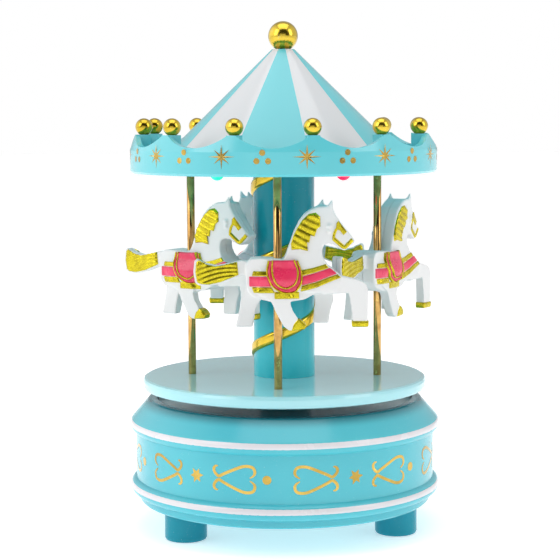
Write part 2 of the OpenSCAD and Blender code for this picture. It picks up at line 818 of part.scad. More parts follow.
module horse_right_legs(y) {
    limb([18, y, 16], [27, y, 14.6], 3, 2.1);
    limb([27, y, 14.4], [27.1, y, 4.4], 1.95, 1.5);
    hoof(27, y, 0.9);
    limb([-4.6, y, 13.2], [1.6, y, 8.8], 3.4, 2.2);
    limb([1.7, y, 8.6], [3.7, y, 3.2], 2, 1.5);
    limb([3.9, y, 2], [7.4, y, 2.5], 1.7, 2.2);
}

module horse_left_legs(y) {
    limb([14.8, y, 14], [16, y, 10.2], 3, 2);
    limb([16, y, 10], [15.8, y, 4.4], 1.85, 1.5);
    hoof(15.8, y, 1.1);
    limb([-5.6, y, 13.4], [-10.6, y, 9.6], 3.4, 2.2);
    limb([-10.7, y, 9.4], [-12.2, y, 3.8], 2, 1.5);
    hoof(-12.4, y, 0.5);
}

module horse_body(side) {
    leg_y = 3.5;
    limb([-3.8, 0, 17.2], [14, 0, 16.9], barrel_r, barrel_r - 0.5);
    limb([13.4, 0, 20.6], [16, 0, 32], 5, 3.5);
    limb([16.7, 0, 34.9], [22.8, 0, 30.4], 3.8, 2.4);
    limb([15.4, side * 1.9, 37], [16.6, side * 2.3, 41.6], 1.3, 0.5);
    translate([0, 1.7, 0]) rotate([90, 0, 0]) linear_extrude(height = 3.4)
        polygon([[4.4, 23], [7, 31], [9.6, 36.4], [13, 39.4], [15, 38], [15.5, 30], [11, 21]]);
    limb([-9, 0, 21], [-15, 0, 21.4], 2, 2.4);
    limb([-15.4, 0, 21.3], [-24.4, 0, 19.6], 2.9, 3.2);
    if (side < 0) horse_right_legs(-leg_y);
    if (side > 0) horse_left_legs(leg_y);
    along_x(-2, 9, barrel_r + 0.5, 0, 17.1);
}

module horse_half(place, heading, side) {
    reach = 40;
    color([0.92, 0.91, 0.92])
    rotate(place + pole_turn) translate([pole_ring_r, 0, stage_z + horse_lift])
        rotate(heading - place - pole_turn) difference() {
            horse_body(side);
            turned(-5, 60, pole_r + run_fit, $fn = 48);
            translate([-reach, side > 0 ? -2 * reach + push_fit / 2 : -push_fit / 2, -reach])
                cube(2 * reach + eps);
        }
}

base_shell();
base_cover();
foot(foot_angles[0]);  // foot_right
foot(foot_angles[1]);  // foot_rear
foot(foot_angles[2]);  // foot_left
cover_screws();
movement_frame();
movement_screws();
spring_housing();
mainspring();
governor_bracket();
bracket_screw();
note_comb();
comb_screws();
thrust_washer();
winding_arbor();
main_wheel();
hub_insert();
platform();
column_half(-1);  // column_front_half
column_half(1);  // column_rear_half
column_ribbon();
tie_rod();
pole(pole_angles[0]);  // pole_front
pole(pole_angles[1]);  // pole_right
pole(pole_angles[2]);  // pole_rear
pole(pole_angles[3]);  // pole_left
canopy();
canopy_ceiling();
ceiling_screws();
rim_balls();
finial_half(finial_z - finial_flat, finial_flat - push_fit);  // finial_lower_half
finial_half(finial_z, finial_r + 1);  // finial_upper_half
light_board();
light(led_red_angle, [0.6, 0.1, 0.12]);  // light_red
light(led_green_angle, [0.1, 0.6, 0.4]);  // light_green
light(led_blue_angle, [0.2, 0.3, 0.8]);  // light_blue
battery_cells();
battery_contacts();
battery_door();
battery_door_screw();
switch_housing();
switch_slider();
pin_cylinder();
cylinder_shaft();
cylinder_pinion();
cylinder_gear();
idler_arbor();
worm_wheel();
governor_shaft();
governor_worm();
governor_fan();
horse_half(-90, 0, 1);  // front_horse_left_half
horse_half(-90, 0, -1);  // front_horse_right_half
horse_half(0, 57, 1);  // right_horse_left_half
horse_half(0, 57, -1);  // right_horse_right_half
horse_half(90, 180, 1);  // rear_horse_left_half
horse_half(90, 180, -1);  // rear_horse_right_half
horse_half(180, -31, 1);  // left_horse_left_half
horse_half(180, -31, -1);  // left_horse_right_half
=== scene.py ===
import json
import math

import bmesh
import bpy
from mathutils import Matrix, Vector
from mathutils.bvhtree import BVHTree


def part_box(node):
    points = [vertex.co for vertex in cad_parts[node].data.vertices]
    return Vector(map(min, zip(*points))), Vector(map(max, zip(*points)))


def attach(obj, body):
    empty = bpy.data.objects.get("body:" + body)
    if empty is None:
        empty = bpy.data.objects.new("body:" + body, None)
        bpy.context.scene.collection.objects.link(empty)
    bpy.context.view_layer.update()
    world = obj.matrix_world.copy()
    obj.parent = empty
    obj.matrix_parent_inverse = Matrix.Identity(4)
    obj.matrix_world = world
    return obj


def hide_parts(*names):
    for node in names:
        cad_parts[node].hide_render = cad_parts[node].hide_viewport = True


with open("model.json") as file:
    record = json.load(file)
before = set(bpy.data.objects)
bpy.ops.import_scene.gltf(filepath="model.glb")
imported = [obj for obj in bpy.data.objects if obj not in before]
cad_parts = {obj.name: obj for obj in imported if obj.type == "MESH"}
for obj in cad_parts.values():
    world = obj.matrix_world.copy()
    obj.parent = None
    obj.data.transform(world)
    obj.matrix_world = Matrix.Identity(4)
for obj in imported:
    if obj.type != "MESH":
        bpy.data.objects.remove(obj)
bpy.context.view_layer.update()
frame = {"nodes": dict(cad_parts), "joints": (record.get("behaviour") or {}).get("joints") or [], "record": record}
nodes = frame["nodes"]
mm = 0.001


class Value:
    def __init__(self, tree, socket):
        self.tree = tree
        self.socket = socket

    def node(self, kind, settings, values, out=0):
        made = self.tree.nodes.new(kind)
        for key, setting in settings.items():
            setattr(made, key, setting)
        for key, given in values.items():
            if isinstance(given, Value):
                self.tree.links.new(given.socket, made.inputs[key])
            else:
                made.inputs[key].default_value = given
        return Value(self.tree, made.outputs[out])

    def maths(self, operation, *given):
        return self.node("ShaderNodeMath", {"operation": operation}, dict(enumerate(given)))

    def __add__(self, other):
        return self.maths("ADD", self, other)

    def __radd__(self, other):
        return self.maths("ADD", other, self)

    def __sub__(self, other):
        return self.maths("SUBTRACT", self, other)

    def __rsub__(self, other):
        return self.maths("SUBTRACT", other, self)

    def __mul__(self, other):
        return self.maths("MULTIPLY", self, other)

    def __rmul__(self, other):
        return self.maths("MULTIPLY", other, self)

    def __truediv__(self, other):
        return self.maths("DIVIDE", self, other)

    def __gt__(self, other):
        return self.maths("GREATER_THAN", self, other)

    def __lt__(self, other):
        return self.maths("LESS_THAN", self, other)

    def smooth(self, low, high):
        return self.node("ShaderNodeMapRange", {"interpolation_type": "SMOOTHSTEP"},
                         {"Value": self, "From Min": low, "From Max": high})

    def axis(self, index):
        return self.node("ShaderNodeSeparateXYZ", {}, {0: self}, index)

    def stretched(self, x, y, z):
        return self.node("ShaderNodeVectorMath", {"operation": "MULTIPLY"}, {0: self, 1: (x, y, z)})

    def noise(self, scale, detail=4.0, roughness=0.5):
        return self.node("ShaderNodeTexNoise", {}, {"Vector": self, "Scale": scale, "Detail": detail,
                                                   "Roughness": roughness})

    def mix(self, first, second):
        made = self.tree.nodes.new("ShaderNodeMix")
        made.data_type = "RGBA"
        self.tree.links.new(self.socket, made.inputs["Factor"])
        for key, given in (("A", first), ("B", second)):
            socket = next(s for s in made.inputs if s.name == key and s.type == "RGBA")
            if isinstance(given, Value):
                self.tree.links.new(given.socket, socket)
            else:
                socket.default_value = (*given, 1)
        return Value(self.tree, next(s for s in made.outputs if s.type == "RGBA"))


def newMaterial(name, fixed):
    material = bpy.data.materials.new(name)
    material.use_nodes = True
    shader = material.node_tree.nodes["Principled BSDF"]
    for key, setting in fixed.items():
        shader.inputs[key].default_value = setting
    coords = material.node_tree.nodes.new("ShaderNodeTexCoord")
    place = Value(material.node_tree, coords.outputs["Object"])
    return material, shader, place


def feed(shader, key, value):
    value.tree.links.new(value.socket, shader.inputs[key])


def bump(shader, height, distance, strength=1.0):
    made = height.node("ShaderNodeBump", {}, {"Height": height, "Distance": distance, "Strength": strength})
    feed(shader, "Normal", made)


# how far light wanders in the plastic, in metres for the scale
plasticDepth = {"Subsurface Radius": (0.6, 1.0, 1.2), "Subsurface Scale": 0.002}
mouldDetail = {"speckScale": 2600.0, "speckEdge": (0.71, 0.76), "speckShare": 0.35, "speckRough": 0.1,
               "flowEdge": (0.35, 0.65), "hairlineStretch": 14.0, "hairlineScale": 180.0,
               "hairlineEdge": (0.62, 0.7), "grainScale": 900.0, "flowRise": 0.35, "grainRise": 0.12,
               "hairlineCut": 0.1, "height": 0.00006, "strength": 0.5}


def mouldedPlastic(name, look):
    detail = mouldDetail
    material, shader, place = newMaterial(name, {**plasticDepth, "Specular IOR Level": look["specular"],
                                                 "Subsurface Weight": look["depth"],
                                                 "Coat Weight": look["coat"],
                                                 "Coat Roughness": look["coatRough"]})
    flow = place.noise(look["flowScale"], 3.0)
    handling = place.noise(look["handlingScale"], 6.0, 0.6)
    specks = place.noise(detail["speckScale"], 2.0).smooth(*detail["speckEdge"])
    tone = flow.smooth(*detail["flowEdge"]).mix(look["shade"], look["tint"])
    # painted shade: above the given heights the colour turns to a darker one, standing in for the shade cast by
    # what sits above
    if "upper" in look:
        tone = place.axis(2).smooth(*look["shadeHeights"]).mix(tone, look["upper"])
    feed(shader, "Base Color", (specks * detail["speckShare"]).mix(tone, look["speck"]))
    feed(shader, "Roughness", look["rough"] + handling * look["roughSpread"] + specks * detail["speckRough"])
    drawn = place.stretched(1.0, 1.0, detail["hairlineStretch"])
    hairlines = drawn.noise(detail["hairlineScale"], 2.0).smooth(*detail["hairlineEdge"])
    grain = place.noise(detail["grainScale"], 2.0) * detail["grainRise"]
    bump(shader, flow * detail["flowRise"] + grain - hairlines * detail["hairlineCut"], detail["height"],
         detail["strength"])
    return material


def stripedCanopy(name, look):
    material, shader, place = newMaterial(name, {**plasticDepth, "Specular IOR Level": 0.5,
                                                 "Subsurface Weight": look["depth"],
                                                 "Coat Weight": look["coat"],
                                                 "Coat Roughness": look["coatRough"]})
    x, y, z = place.axis(0), place.axis(1), place.axis(2)
    radius = x.maths("SQRT", x * x + y * y)
    angle = y.maths("ARCTAN2", y, x) + math.radians(look["turn"]) + 8 * math.pi
    pair = angle / math.radians(360 / look["stripePairs"])
    sector = pair.maths("FRACT", pair)
    wobble = place.noise(look["wobbleScale"], 3.0) * look["wobble"] - look["wobble"] / 2
    white = (sector + wobble).smooth(0.5 - look["blur"], 0.5 + look["blur"])
    onCone = (radius < look["coneRadius"]) * (z > look["coneFoot"])
    blue = place.noise(look["cloudScale"], 3.0).smooth(0.3, 0.7).mix(look["shade"], look["tint"])
    feed(shader, "Base Color", (white * onCone).mix(blue, look["white"]))
    smudge = place.noise(look["smudgeScale"], 5.0, 0.6)
    feed(shader, "Roughness", look["rough"] + smudge * look["smudge"])
    paintEdge = white * (1 - white) * 4
    grain = place.noise(look["grainScale"], 2.0) * look["grainRise"]
    bump(shader, paintEdge * look["edgeRise"] + white * look["paintRise"] + grain, look["height"],
         look["strength"])
    return material


goldDetail = {"coatRough": 0.04, "wornScale": 420.0, "wornEdge": (0.6, 0.72), "cloudEdge": (0.35, 0.65),
              "cloudRough": 0.08, "wornRough": 0.12, "rippleScale": 520.0, "height": 0.00005}


def brightGold(name, look):
    detail = goldDetail
    material, shader, place = newMaterial(name, {"Metallic": 1.0, "Coat Weight": look["coat"],
                                                 "Coat Roughness": detail["coatRough"]})
    cloud = place.noise(look["cloudScale"], 4.0, 0.55)
    worn = place.noise(detail["wornScale"], 5.0, 0.65).smooth(*detail["wornEdge"])
    plating = cloud.smooth(*detail["cloudEdge"]).mix(look["deep"], look["tint"])
    feed(shader, "Base Color", worn.mix(plating, look["worn"]))
    feed(shader, "Roughness", look["rough"] + cloud * detail["cloudRough"] + worn * detail["wornRough"])
    bump(shader, place.noise(detail["rippleScale"], 3.0), detail["height"], look["ripple"])
    return material


def goldPaint(name, look):
    material, shader, place = newMaterial(name, {"Specular IOR Level": 0.5, "Coat Weight": look["coat"],
                                                 "Coat Roughness": look["coatRough"]})
    brushed = place.stretched(1.0, 1.0, look["brushStretch"]).noise(look["brushScale"], 3.0)
    flake = place.noise(look["flakeScale"], 2.0).smooth(*look["flakeEdge"])
    paint = brushed.smooth(0.3, 0.7).mix(look["shade"], look["tint"])
    feed(shader, "Base Color", flake.mix(paint, look["flake"]))
    feed(shader, "Metallic", look["metallic"] + flake * look["flakeMetallic"])
    feed(shader, "Roughness", look["rough"] + brushed * look["brushRough"])
    bump(shader, brushed, look["height"], 0.5)
    return material


metalDetail = {"grainScale": 400.0, "stainScale": 60.0, "stainEdge": (0.4, 0.7), "grainRough": 0.15,
               "stainRough": 0.05, "height": 0.00004}


def metal(name, look):
    material, shader, place = newMaterial(name, {"Metallic": 1.0})
    detail = metalDetail
    grain = place.stretched(*look["grain"]).noise(detail["grainScale"], 4.0)
    stain = place.noise(detail["stainScale"], 4.0)
    feed(shader, "Base Color", stain.smooth(*detail["stainEdge"]).mix(look["tint"], look["stain"]))
    feed(shader, "Roughness", look["rough"] + grain * detail["grainRough"] + stain * detail["stainRough"])
    bump(shader, grain, detail["height"], 0.5)
    return material


lensDetail = {"clear": 0.55, "deepShare": 0.35, "tintScale": 300.0, "rough": 0.08, "roughScale": 200.0,
              "roughSpread": 0.06, "glowScale": 90.0, "glow": 2.5}


def clearLens(name, tint):
    detail = lensDetail
    material, shader, place = newMaterial(name, {"Transmission Weight": detail["clear"], "IOR": 1.5,
                                                 "Emission Strength": detail["glow"]})
    deep = tuple(detail["deepShare"] * c for c in tint)
    feed(shader, "Base Color", place.noise(detail["tintScale"], 2.0).smooth(0.3, 0.7).mix(tint, deep))
    smear = place.noise(detail["roughScale"], 3.0)
    feed(shader, "Roughness", detail["rough"] + smear * detail["roughSpread"])
    feed(shader, "Emission Color", place.noise(detail["glowScale"], 2.0).mix(tint, deep))
    return material


blueLook = {"tint": (0.07, 0.52, 0.61), "shade": (0.05, 0.48, 0.58), "speck": (0.6, 0.8, 0.85),
            "specular": 0.5, "depth": 0.08, "coat": 0.3, "coatRough": 0.16, "rough": 0.16,
            "roughSpread": 0.12, "flowScale": 22.0, "handlingScale": 45.0}
paleLook = {**blueLook, "tint": (0.4, 0.76, 0.81), "shade": (0.37, 0.73, 0.79), "rough": 0.06, "coat": 0.5,
            "coatRough": 0.06}
# the column: a lighter copy of the blue plastic standing in for the light on its lower part, with painted shade
# darkening it toward the top under the canopy
columnLightAndShadeLook = {**blueLook, "tint": (0.06, 0.6, 0.68), "shade": (0.05, 0.56, 0.65), "specular": 0.25,
              "coat": 0.1, "upper": (0.001, 0.27, 0.34), "shadeHeights": (0.058, 0.092)}
# the drum: painted shade darkens its top and the recess under the platform
drumShadeLook = {**blueLook, "upper": (0.004, 0.16, 0.2), "shadeHeights": (0.0425, 0.0464)}
# the feet: a darker copy of the blue plastic, painted shade for their place under the drum
footShadeLook = {**blueLook, "tint": (0.01, 0.3, 0.4), "shade": (0.005, 0.27, 0.36), "specular": 0.2, "coat": 0.1}
whiteLook = {**blueLook, "tint": (0.76, 0.74, 0.77), "shade": (0.72, 0.7, 0.74), "speck": (0.5, 0.5, 0.52),
             "depth": 0.12, "rough": 0.2}
canopyLook = {"tint": (0.15, 0.6, 0.66), "shade": (0.12, 0.57, 0.64), "white": (0.68, 0.7, 0.72),
              "turn": 42.0, "stripePairs": 5, "coneRadius": 0.0435, "coneFoot": 0.1304, "rough": 0.12,
              "depth": 0.08, "coat": 0.25, "coatRough": 0.08, "wobbleScale": 240.0, "wobble": 0.006,
              "blur": 0.003, "cloudScale": 14.0, "smudgeScale": 40.0, "smudge": 0.1, "grainScale": 700.0,
              "grainRise": 0.15, "edgeRise": 0.5, "paintRise": 0.4, "height": 0.00006, "strength": 0.6}
pinkLook = {**blueLook, "tint": (0.83, 0.035, 0.12), "shade": (0.76, 0.03, 0.1), "speck": (0.9, 0.4, 0.5),
            "depth": 0.04, "rough": 0.22, "flowScale": 120.0}
darkLook = {**blueLook, "tint": (0.02, 0.02, 0.022), "shade": (0.015, 0.015, 0.017), "depth": 0.0,
            "rough": 0.35}
boardLook = {**blueLook, "tint": (0.02, 0.16, 0.06), "shade": (0.02, 0.12, 0.05), "depth": 0.0, "rough": 0.3}
ballLook = {"tint": (0.7, 0.5, 0.045), "deep": (0.55, 0.38, 0.02), "worn": (0.8, 0.64, 0.2), "coat": 0.35,
            "rough": 0.14, "cloudScale": 90.0, "ripple": 0.6}
foilLook = {**ballLook, "tint": (0.62, 0.42, 0.09), "deep": (0.42, 0.28, 0.05), "rough": 0.16, "ripple": 0.8}
poleLook = {**ballLook, "tint": (0.6, 0.38, 0.12), "deep": (0.44, 0.24, 0.07), "rough": 0.05, "coat": 0.2,
            "cloudScale": 260.0, "ripple": 0.15}
paintLook = {"tint": (0.6, 0.5, 0.006), "shade": (0.44, 0.35, 0.004), "flake": (0.78, 0.68, 0.04),
             "coat": 0.2, "coatRough": 0.15, "brushStretch": 0.4, "brushScale": 500.0, "flakeScale": 3200.0,
             "flakeEdge": (0.5, 0.7), "metallic": 0.84, "flakeMetallic": 0.14, "rough": 0.2,
             "brushRough": 0.12, "height": 0.00008}
brassLook = {"tint": (0.78, 0.6, 0.28), "stain": (0.6, 0.44, 0.2), "rough": 0.22, "grain": (1, 1, 6)}
steelLook = {"tint": (0.7, 0.71, 0.74), "stain": (0.55, 0.56, 0.6), "rough": 0.22, "grain": (1, 1, 8)}
zincLook = {"tint": (0.55, 0.54, 0.52), "stain": (0.42, 0.41, 0.4), "rough": 0.42, "grain": (1, 1, 1)}

bluePlastic = mouldedPlastic("lightBluePlastic", blueLook)
palePlastic = mouldedPlastic("paleBluePlastic", paleLook)
columnLightAndShadePlastic = mouldedPlastic("columnLightAndShadePlastic", columnLightAndShadeLook)
drumShadedPlastic = mouldedPlastic("drumShadedPlastic", drumShadeLook)
footShadedPlastic = mouldedPlastic("footShadedPlastic", footShadeLook)
whitePlastic = mouldedPlastic("whitePlastic", whiteLook)
pinkPaint = mouldedPlastic("pinkPaint", pinkLook)
darkPlastic = mouldedPlastic("blackPlastic", darkLook)
boardGreen = mouldedPlastic("boardGreen", boardLook)
canopyPaint = stripedCanopy("stripedCanopy", canopyLook)
ballGold = brightGold("platedGold", ballLook)
foilGold = brightGold("printedFoil", foilLook)
poleBrass = brightGold("poleBrass", poleLook)
horseGold = goldPaint("goldPaint", paintLook)
brass = metal("machinedBrass", brassLook)
steel = metal("brightSteel", steelLook)
zinc = metal("castZinc", zincLook)

bySlot = {"base_plastic": bluePlastic, "platform_plastic": palePlastic, "column_plastic": columnLightAndShadePlastic,
          "canopy_plastic": canopyPaint, "horse_plastic": whitePlastic, "gold_plating": ballGold,
          "pole_brass": poleBrass, "brass_plate": brass, "zinc_frame": zinc, "spring_steel": steel,
          "shaft_steel": steel, "screw_steel": steel, "cell_steel": steel, "washer_plastic": whitePlastic,
          "circuit_board": boardGreen, "red_lens": clearLens("redLens", (0.6, 0.01, 0.06)),
          "green_lens": clearLens("greenLens", (0.01, 0.4, 0.28)),
          "blue_lens": clearLens("blueLens", (0.03, 0.08, 0.6)), "dark_plastic": darkPlastic,
          "switch_plastic": whitePlastic, "fan_plastic": whitePlastic}
byNode = {"base_shell": drumShadedPlastic, "foot_right": footShadedPlastic, "foot_rear": footShadedPlastic,
          "foot_left": footShadedPlastic}
slotOf = {part["node"]: part["material_slot"] for part in frame["record"]["subparts"]}
for name, shown in nodes.items():
    for slot in shown.material_slots:
        slot.material = byNode.get(name, bySlot[slotOf[name]])
print("materials on", len(nodes), "nodes")


def addMesh(name, points, faces, material, smooth=True):
    mesh = bpy.data.meshes.new(name)
    mesh.from_pydata([tuple(p) for p in points], [], faces)
    mesh.materials.append(material)
    mesh.validate()
    mesh.update()
    if smooth:
        mesh.shade_smooth()
    made = bpy.data.objects.new(name, mesh)
    bpy.context.scene.collection.objects.link(made)
    return made


def curvePoints(knots, steps=8):
    padded = [knots[0], *knots, knots[-1]]
    points = []
    for i in range(len(knots) - 1):
        a, b, c, d = (Vector(p) for p in padded[i:i + 4])
        for s in range(steps):
            t = s / steps
            points.append(0.5 * (2 * b + (c - a) * t + (2 * a - 5 * b + 4 * c - d) * t * t
                                 + (3 * b - a - 3 * c + d) * t ** 3))
    return points + [Vector(knots[-1])]


def onDrum(radiusAt, angle, along, height):
    radius = radiusAt(height)
    turn = math.radians(angle) + along / radius
    return Vector((radius * math.cos(turn), radius * math.sin(turn), height))


def foilShape(outline, centre, place):
    points = [place(*centre)] + [place(*p) for p in outline]
    return points, [(0, i + 1, (i + 1) % len(outline) + 1) for i in range(len(outline))]


# a stroke's width at its ends, as a share of the full width, and how soon it swells
strokeTip, strokeSwell = 0.35, 1.6


def foilStroke(path, width, place):
    points, faces = [], []
    for i, p in enumerate(path):
        ahead = path[min(i + 1, len(path) - 1)] - path[max(i - 1, 0)]
        side = Vector((-ahead.y, ahead.x, 0)).normalized()
        half = width / 2 * min(1.0, strokeTip + strokeSwell * math.sin(math.pi * i / (len(path) - 1)))
        points += [place(*(p + side * half).xy), place(*(p - side * half).xy)]
    for i in range(len(path) - 1):
        faces.append((2 * i, 2 * i + 1, 2 * i + 3, 2 * i + 2))
    return points, faces


def gather(name, shapes, material):
    points, faces = [], []
    for shapePoints, shapeFaces in shapes:
        faces += [tuple(len(points) + i for i in face) for face in shapeFaces]
        points += shapePoints
    return addMesh(name, points, faces, material, smooth=False)


def starOutline(rays, tip, root, squeeze=1.0, phase=0.0):
    outline = []
    for i in range(rays):
        a = phase + 2 * math.pi * i / rays
        reach = tip * (squeeze if i % 2 else 1.0)
        outline.append((reach * math.cos(a), reach * math.sin(a)))
        b = a + math.pi / rays
        outline.append((root * math.cos(b), root * math.sin(b)))
    return outline


def discOutline(radius, count=20):
    return [(radius * math.cos(2 * math.pi * i / count), radius * math.sin(2 * math.pi * i / count))
            for i in range(count)]


rimPrint = {"lift": 0.04 * mm, "starAngle": 8.0, "dotAngle": -7.4, "height": 132.3 * mm, "starTip": 4.8 * mm,
            "starRoot": 1.05 * mm, "shortRays": 0.82, "starSquash": 0.86, "repeats": 12, "dot": 1.0 * mm,
            "spread": 1.9 * mm, "rise": 1.35 * mm}
drumPrint = {"inset": 2.0 * mm, "lift": 0.04 * mm, "angle": -96.5, "height": 26.4 * mm, "repeats": 6,
             "dot": 1.5 * mm, "starTurn": 32.7, "starTip": 2.8 * mm, "starRoot": 1.35 * mm,
             "shortRays": 0.92, "starPhase": 0.1, "lobesRight": 55.9, "lobesLeft": 9.7, "stroke": 1.0 * mm}


def printRim(look):
    low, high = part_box("canopy")
    rim = high.x + look["lift"]
    spread, rise = look["spread"], look["rise"]
    shapes = []
    for i in range(look["repeats"]):
        for kind, start in (("star", look["starAngle"]), ("dots", look["dotAngle"])):
            angle = -90 + start + 360 / look["repeats"] * i
            def place(along, up):
                return onDrum(lambda h: rim, angle, along, look["height"] + up)
            if kind == "star":
                outline = starOutline(8, look["starTip"], look["starRoot"], look["shortRays"])
                shapes.append(foilShape([(x, y * look["starSquash"]) for x, y in outline], (0, 0), place))
            else:
                for x, y in ((0, rise), (-spread, -rise), (spread, -rise)):
                    dot = [(x + a, y + b) for a, b in discOutline(look["dot"])]
                    shapes.append(foilShape(dot, (x, y), place))
    return gather("rimFoilPrint", shapes, foilGold)


# one strand of a heart scroll in millimetres, from the lobe to the curled end
scrollKnots = [(1.9, 0.45, 0), (0.6, 1.4, 0), (0.2, 2.6, 0), (0.8, 3.9, 0), (2.3, 4.4, 0), (4.5, 4.2, 0),
               (7.8, 2.9, 0), (11.1, 1.4, 0), (12.7, 0.6, 0), (13.7, 1.1, 0), (14.5, 2.1, 0), (14.6, 3.1, 0),
               (14.0, 3.9, 0), (13.1, 4.0, 0)]


def scroll(direction):
    return [[Vector((direction * p.x, flip * p.y, 0)) * mm for p in curvePoints(scrollKnots, 6)]
            for flip in (1, -1)]


def printDrum(look):
    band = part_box("base_shell")[1].x - look["inset"] + look["lift"]
    shapes = []
    for i in range(look["repeats"]):
        start = look["angle"] + 360 / look["repeats"] * i
        def placeAt(turn):
            return lambda along, up: onDrum(lambda h: band, start + turn, along, look["height"] + up)
        shapes.append(foilShape(discOutline(look["dot"]), (0, 0), placeAt(0)))
        star = starOutline(6, look["starTip"], look["starRoot"], look["shortRays"], look["starPhase"])
        shapes.append(foilShape(star, (0, 0), placeAt(look["starTurn"])))
        for path in scroll(1):
            shapes.append(foilStroke(path, look["stroke"], placeAt(look["lobesLeft"])))
        for path in scroll(-1):
            shapes.append(foilStroke(path, look["stroke"], placeAt(look["lobesRight"])))
    return gather("drumFoilFrieze", shapes, foilGold)


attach(printRim(rimPrint), "turntable")
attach(printDrum(drumPrint), "base")
print("foil prints done")


# a plump moulded spiral stands for the faceted one
def ribbon(look):
    low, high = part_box("column_ribbon")
    radius = look["radius"]
    turns = (high.z - low.z) / look["pitch"]
    steps = int(turns * look["stepsPerTurn"])
    across = look["across"]
    points, faces = [], []
    for i in range(steps + 1):
        height = low.z + (high.z - low.z) * i / steps
        middle = math.radians(-90) + 2 * math.pi * (height - look["frontHeight"]) / look["pitch"]
        for k in range(across + 1):
            t = 2 * k / across - 1
            lift = look["relief"] * (1 - abs(t) ** 4) ** 0.5
            r = radius + lift if k not in (0, across) else radius - look["sink"]
            a = middle + t * look["halfSpan"]
            points.append((r * math.cos(a), r * math.sin(a), height))
    for i in range(steps):
        for k in range(across):
            a = i * (across + 1) + k
            faces.append((a, a + 1, a + across + 2, a + across + 1))
    return addMesh("columnSpiral", points, faces, ballGold)


spiralLook = {"radius": 10.85 * mm, "relief": 0.9 * mm, "sink": 0.1 * mm, "pitch": 28.6 * mm,
              "frontHeight": 69.7 * mm, "halfSpan": math.radians(27.5), "stepsPerTurn": 60, "across": 12}
spiral = ribbon(spiralLook)
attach(spiral, "turntable")
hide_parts("column_ribbon")
print("spiral done")


# polished rods stand for the faceted ones
def poles(look):
    for spot in ("front", "right", "rear", "left"):
        low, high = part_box("pole_" + spot)
        middle, radius = (low + high) / 2, (high.x - low.x) / 2
        profile = [(radius - look["edge"], low.z), (radius, low.z + look["edge"]),
                   (radius, high.z - look["edge"]), (radius - look["edge"], high.z)]
        count, points, faces = look["sides"], [], []
        for reach, height in profile:
            points += [(middle.x + reach * math.cos(2 * math.pi * k / count),
                        middle.y + reach * math.sin(2 * math.pi * k / count), height) for k in range(count)]
        for i in range(len(profile) - 1):
            for k in range(count):
                a, b = i * count + k, i * count + (k + 1) % count
                faces.append((a, b, b + count, a + count))
        faces += [tuple(range(count - 1, -1, -1)), tuple(range(len(points) - count, len(points)))]
        rod = addMesh(spot + "Pole", points, faces, poleBrass)
        rod.data.polygons[-1].use_smooth = False
        rod.data.polygons[-2].use_smooth = False
        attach(rod, "turntable")
        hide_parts("pole_" + spot)


poles({"sides": 64, "edge": 0.12 * mm})
print("poles done")


def blob(bm, centre, r, squash):
    scale = Matrix.Diagonal((r, r * squash, r, 1))
    bmesh.ops.create_icosphere(bm, subdivisions=2, radius=1.0, matrix=Matrix.Translation(centre) @ scale)


def chain(bm, knots, squash=1.0, steps=7):
    for (a, ra), (b, rb) in zip(knots, knots[1:]):
        for s in range(steps + 1):
            t = s / steps
            blob(bm, Vector(a).lerp(Vector(b), t), ra + (rb - ra) * t, squash)


def slab(bm, outline, inner, outer):
    # inner and outer give the two faces' distance from the middle plane at a point of the outline
    near = [bm.verts.new((x, inner(x, z), z)) for x, z in outline]
    far = [bm.verts.new((x, outer(x, z), z)) for x, z in outline]
    count = len(outline)
    faces = [bm.faces.new(near), bm.faces.new(far[::-1])]
    for i in range(count):
        k = (i + 1) % count
        faces.append(bm.faces.new((near[i], near[k], far[k], far[i])))
    bmesh.ops.triangulate(bm, faces=faces)
    bmesh.ops.recalc_face_normals(bm, faces=bm.faces[:])


def flat(distance):
    return lambda x, z: distance


def fused(name, build, voxel, smoothing, material):
    bm = bmesh.new()
    build(bm)
    bmesh.ops.scale(bm, vec=(mm, mm, mm), verts=bm.verts)
    mesh = bpy.data.meshes.new(name)
    bm.to_mesh(mesh)
    bm.free()
    raw = bpy.data.objects.new(name, mesh)
    bpy.context.scene.collection.objects.link(raw)
    remesh = raw.modifiers.new("fuse", "REMESH")
    remesh.mode = "VOXEL"
    remesh.voxel_size = voxel * mm
    soften = raw.modifiers.new("soften", "SMOOTH")
    soften.iterations = smoothing
    soften.factor = 0.5
    done = bpy.data.meshes.new_from_object(raw.evaluated_get(bpy.context.evaluated_depsgraph_get()))
    bpy.data.objects.remove(raw)
    done.materials.clear()
    done.materials.append(material)
    done.shade_smooth()
    return done


# side outlines in millimetres: forward of the pole, then height above the lowest hoof
barrelOutline = [(-10.3, 13.4), (-10.7, 17.5), (-10.5, 21.8), (-9.2, 23.7), (-6.5, 24.1), (0, 23.7),
                 (5, 23.2), (14, 20), (16, 14), (9, 10.2), (4, 9.4), (-1.5, 9.3), (-5.4, 10.1),
                 (-8.7, 11.2)]
neckOutline = [(1.4, 22.4), (2.8, 25.2), (4.1, 28.8), (5.4, 32.6), (7.2, 36.3), (9.0, 38.6),
               (11.4, 40.3), (13.4, 41.2), (15.6, 41.3), (18.2, 41.2), (19.0, 39.2), (20.2, 37.0),
               (22.5, 34.0), (25.9, 29.7), (25.6, 28.8), (22.4, 26.3), (21.2, 26.8), (17.9, 28.8),
               (16.5, 28.9), (15.3, 28.1), (14.8, 26.6), (14.9, 24.9), (15.6, 23.0), (16.9, 21.2),
               (19.0, 19.4), (21.6, 17.4), (20.0, 13.2), (12, 12.3), (4, 14)]
raisedForeleg = [(15, 11.8), (22, 12.2), (24.4, 12.4), (25.0, 11.4), (25.0, 2.2), (30.0, 2.2),
                 (30.2, 13.2), (29.4, 15.5), (27.0, 16.8), (22.8, 17.7), (16, 19.5)]
